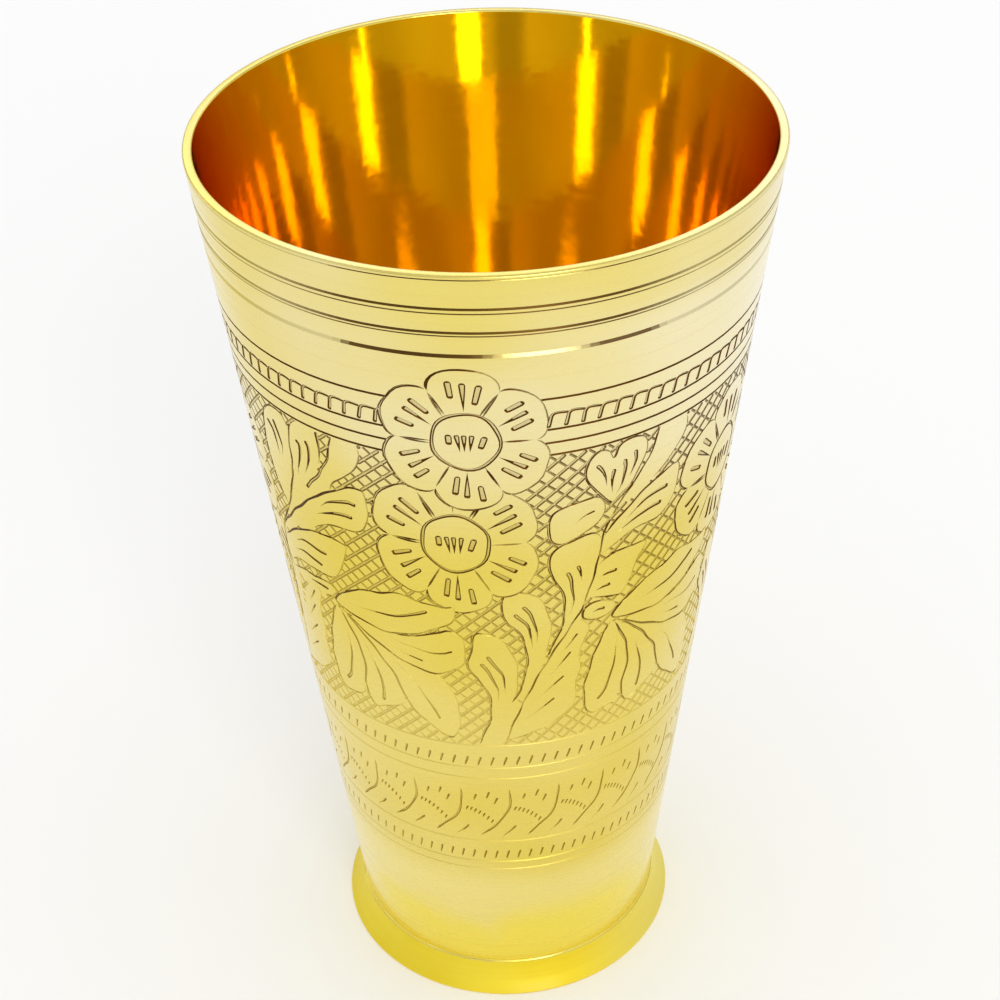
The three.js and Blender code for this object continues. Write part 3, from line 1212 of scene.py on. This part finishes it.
class WallFaces:
    """The wall's faces: each is bare wall, side or bottom of a cut, or no part of the engraved skin.
    Depth is measured in from the plain outside."""

    def __init__(self, mesh):
        self.xyz = read(mesh.vertices, "co", 3).astype(float) / MM
        self.turn = np.arctan2(self.xyz[:, 0], -self.xyz[:, 1])
        self.depth = outside(self.xyz[:, 2]) - np.hypot(self.xyz[:, 0], self.xyz[:, 1])
        self.corners = read(mesh.loops, "vertex_index", kind=int)
        self.starts = read(mesh.polygons, "loop_start", kind=int)
        self.counts = np.diff(np.append(self.starts, len(self.corners)))
        self.normal = read(mesh.polygons, "normal", 3).astype(float)
        self.corner_normals = read(mesh.corner_normals, "vector", 3)
        self.deepest = self.most(self.depth[self.corners])
        self.highest = self.least(self.depth[self.corners])
        self.height = self.least(self.xyz[self.corners, 2])
        self.engraved = (self.deepest < SKIN_DEPTH) & (self.height > SHOULDER + SKIN_MARGIN)
        self.engraved &= self.height < HEIGHT - RIM_EASE - SKIN_MARGIN
        steep = self.deepest - self.highest > SIDE_DROP
        self.side = self.engraved & steep & (self.deepest > CUT_FLOOR)
        self.bottom = self.engraved & (self.highest > CUT_FLOOR) & ~self.side

    def least(self, values):
        """The least of the corners' values on each face."""
        return np.minimum.reduceat(values, self.starts)

    def most(self, values):
        return np.maximum.reduceat(values, self.starts)


def polish_and_painted_shade(faces):
    """How much old polish stays on each face, with painted light and shade. Low down, where the wall is
    handled most, and in shallow cuts it is taken off the sides that face to the right: painted light
    on those sides, painted shade on the others. In the lathe's lines its share is painted reflection,
    dark on the front where they mirror dark things and clear where the front lamp glints."""
    turn = faces.turn[faces.corners[faces.starts]]
    x, y, up = faces.normal.T
    lit_right = RIGHT_LIGHT * (0.55 + 0.45 * np.cos(turn - math.radians(RIGHT_LIGHT_TURN)))
    lit_right = np.clip(lit_right * (x * np.cos(turn) + y * np.sin(turn)), 0, 1)
    kept = np.interp(faces.height, HANDLED, (0, 1))
    deep = np.clip(faces.deepest / CUT_DEPTH, 0, 1)
    polish = deep ** (5 - 4.5 * kept) * (1 - lit_right * (1 - kept * deep**4))
    in_bottom = np.where(faces.bottom, BOTTOM_POLISH, 0)
    polish = np.where(faces.side, np.maximum(polish, LEAST_POLISH), in_bottom)
    fine, bold = (np.interp(np.degrees(turn), *zip(*shares)) for shares in (FINE_PAINTED_DARK, BOLD_PAINTED_DARK))
    # Painted reflection in the lathe's lines: shade on the upper flanks, which face down, and lower
    # flanks dark or clear by turn
    held = np.where(up < 0, 0.4 + 0.6 * fine, np.where(up > BOLD_SLOPE, fine, bold))
    return np.where(faces.height >= BAND_TOP, np.where(faces.side, held, 0), polish)


def true_normals(faces):
    """Bare wall and flat bottoms take the true slope of the cone, so no facet shows."""
    cone = faces.xyz[faces.corners] * (1, 1, 0)
    cone /= np.linalg.norm(cone, axis=1)[:, None]
    cone[:, 2] = -TAPER
    level = np.repeat(faces.engraved & ~faces.side & (faces.height < BAND_TOP), faces.counts)
    normals = faces.corner_normals.copy()
    normals[level] = (cone / math.hypot(1, TAPER))[level]
    return normals


def flat_map(faces):
    """The outer wall in the lower half, and the inner wall turned over in the upper half."""
    from_seam = np.degrees(faces.turn) - (PANEL_TURN + 180)
    u = ((from_seam + 0.001) % 360 / 360)[faces.corners]
    over_seam = faces.most(u) - faces.least(u) > 0.5
    u += np.repeat(over_seam, faces.counts) & (u < 0.5)
    rise = MAP_EDGE + MAP_RISE * (faces.xyz[:, 2] - LEDGE) / (HEIGHT - LEDGE)
    v = np.where(faces.depth > WALL / 2, 1 - rise, rise)[faces.corners]
    ledge = np.repeat(faces.most(faces.xyz[faces.corners, 2]) < LEDGE + 0.01, faces.counts)
    v[ledge] = 0.005 + 0.01 * (faces.depth[faces.corners][ledge] > 1)
    return np.column_stack([u, v]).astype(np.float32)


def wall():
    outer = wall_finish()
    mesh = joined_wall(outer)
    mesh.materials.append(outer)
    mesh.materials.append(inside_finish())
    shade_smooth(mesh)
    faces = WallFaces(mesh)
    # The cut attribute: old polish in the cuts, with painted light, shade and reflections
    mesh.attributes.new("cut", "FLOAT", "FACE").data.foreach_set("value", polish_and_painted_shade(faces))
    mesh.polygons.foreach_set("material_index", (faces.highest > INNER).astype(int))
    mesh.normals_split_custom_set(true_normals(faces).tolist())
    mesh.uv_layers["OFBake"].data.foreach_set("uv", flat_map(faces).ravel())
    piece(mesh, "body_wall")


# Foot, floor and solder


def foot():
    profile = [(FOOT_RADIUS - FOOT_REST, 0)]
    profile += arc((FOOT_RADIUS - FOOT_EASE, FOOT_EASE), FOOT_EASE, -90, 0, 6)
    profile += bow((FOOT_RADIUS, FOOT_EASE), (LIP_RADIUS, LIP), FLARE_HOLLOW, 14)[1:]
    profile += [(SOCKET_RADIUS, LIP), (SOCKET_RADIUS, LEDGE), (LEDGE_RADIUS, LEDGE)]
    profile += [(LEDGE_RADIUS, RECESS), (FOOT_RADIUS - FOOT_REST, RECESS)]
    turned_piece("foot", profile, foot_finish(), "foot_ring")


def cup_floor():
    profile = [(0, LEDGE), (FLOOR_RADIUS, LEDGE), (FLOOR_RADIUS, FLOOR)]
    profile += [(r, FLOOR) for r in np.linspace(FLOOR_RADIUS, 0, 12)[1:]]
    turned_piece("cup_floor", profile, floor_finish(), "floor_disc")


def foot_seam(solder):
    profile = [(SOCKET_RADIUS, LIP)]
    profile += bow((LIP_RADIUS, LIP), (WAIST_RADIUS, SHOULDER), SEAM_BULGE, 6)
    profile += [(SOCKET_RADIUS, SHOULDER)]
    turned_piece("foot_seam", profile, solder, "foot_solder_ring")


def floor_seam(solder):
    width = FILLET_TOP - FLOOR
    edge = inside(FLOOR) - FILLET_GAP
    top = (inside(FILLET_TOP) - FILLET_GAP, FILLET_TOP)
    profile = [(edge, FLOOR), *bow(top, (edge - width, FLOOR), width / 6, 8)]
    turned_piece("floor_seam", profile, solder, "floor_solder_fillet")


# Table, light and camera

TABLE_REACH = 12  # metres, as far as can be seen
LAMP_AWAY = 1.2  # metres from the cup's mouth
LAMPS = (  # degrees from the back to the right, degrees up, width and height in degrees, brightness
    ("front_lamp", 164, 26, 24, 30, 3.6),
    ("back_lamp", -6, 30, 40, 12, 1.3),
    ("right_strip", 40, 15, 5.5, 7, 3.0),
    ("left_strip", -58, 15, 8, 7, 3.0),
)
CARD_WAY = (-0.45, -0.77, 0.45)  # from the cup to a grey card in front on the left

# Camera, fitted to the photograph's rim, sides and foot
CAMERA_BACK = 288.30
CAMERA_UP = 298.48
CAMERA_PITCH = math.radians(35.838)
CAMERA_YAW = math.radians(0.103)
CAMERA_ROLL = math.radians(-1.704)
CAMERA_LENS = 75.0
BOUNCES = 28  # of light inside the cup


def table():
    mesh = bpy.data.meshes.new("table")
    corners = [(x * TABLE_REACH, y * TABLE_REACH, 0) for x, y in ((-1, -1), (1, -1), (1, 1), (-1, 1))]
    mesh.from_pydata(corners, [], [(0, 1, 2, 3)])
    white = bpy.data.materials.new("table_white")
    white.use_nodes = True
    shader = white.node_tree.nodes["Principled BSDF"]
    shader.inputs["Base Color"].default_value = (0.92, 0.92, 0.92, 1)
    shader.inputs["Roughness"].default_value = 0.9
    mesh.materials.append(white)
    obj = new_object("table", mesh)


def studio():
    """A white room, greyer where the metal mirrors it, with a grey card held up on the left."""
    world = bpy.data.worlds.new("studio")
    bpy.context.scene.world = world
    world.use_nodes = True
    room = world.node_tree
    way = add_node(room, "ShaderNodeTexCoord").outputs["Generated"]
    mirrored = stretch_range(room, parts_of(room, way)["Y"], -0.6, 0.6, 0.88, 0.66)
    card = add_node(room, "ShaderNodeVectorMath", {0: way, 1: CARD_WAY}, operation="DOT_PRODUCT")
    shade = stretch_range(room, card.outputs["Value"], 0.91, 0.98, 1.0, 0.58)
    mirrored = operation(room, "MULTIPLY", mirrored, shade)
    ray = add_node(room, "ShaderNodeLightPath").outputs
    glossy = operation(room, "MULTIPLY", ray["Is Glossy Ray"], mirrored)
    lit = stretch_range(room, ray["Is Glossy Ray"], 0.0, 1.0, 0.94, 0.0)
    level = operation(room, "MAXIMUM", ray["Is Camera Ray"], operation(room, "ADD", glossy, lit))
    background = room.nodes["Background"].inputs
    background["Color"].default_value = (1, 1, 1, 1)
    room.links.new(level, background["Strength"])


def softbox(name, turn, rise, width, height, brightness):
    """A soft lamp facing the cup's mouth."""
    turn, rise = math.radians(turn), math.radians(rise)
    way = Vector((math.sin(turn) * math.cos(rise), math.cos(turn) * math.cos(rise), math.sin(rise)))
    lamp = bpy.data.lights.new(name, "AREA")
    lamp.shape = "RECTANGLE"
    lamp.size = 2 * LAMP_AWAY * math.tan(math.radians(width / 2))
    lamp.size_y = 2 * LAMP_AWAY * math.tan(math.radians(height / 2))
    lamp.energy = math.pi * lamp.size * lamp.size_y * brightness
    obj = new_object(name, lamp)
    obj.location = Vector((0, 0, HEIGHT * MM)) + way * LAMP_AWAY
    obj.rotation_euler = way.to_track_quat("Z", "Y").to_euler()


def camera():
    data = bpy.data.cameras.new("camera")
    data.lens = CAMERA_LENS
    data.sensor_width = 36
    data.clip_start = 0.01
    obj = new_object("camera", data)
    turns = ((-CAMERA_YAW, "Z"), (math.pi / 2 - CAMERA_PITCH, "X"), (CAMERA_ROLL, "Z"))
    yaw, pitch, roll = (Matrix.Rotation(angle, 4, axis) for angle, axis in turns)
    obj.matrix_world = Matrix.Translation((0, -CAMERA_BACK * MM, CAMERA_UP * MM)) @ yaw @ pitch @ roll
    bpy.context.scene.camera = obj


wall()
solder = solder_finish()
foot()
cup_floor()
foot_seam(solder)
floor_seam(solder)
table()
studio()
for lamp in LAMPS:
    softbox(*lamp)
camera()

bpy.context.scene.view_settings.view_transform = "Standard"
bpy.context.scene.cycles.max_bounces = BOUNCES
bpy.context.scene.cycles.glossy_bounces = BOUNCES
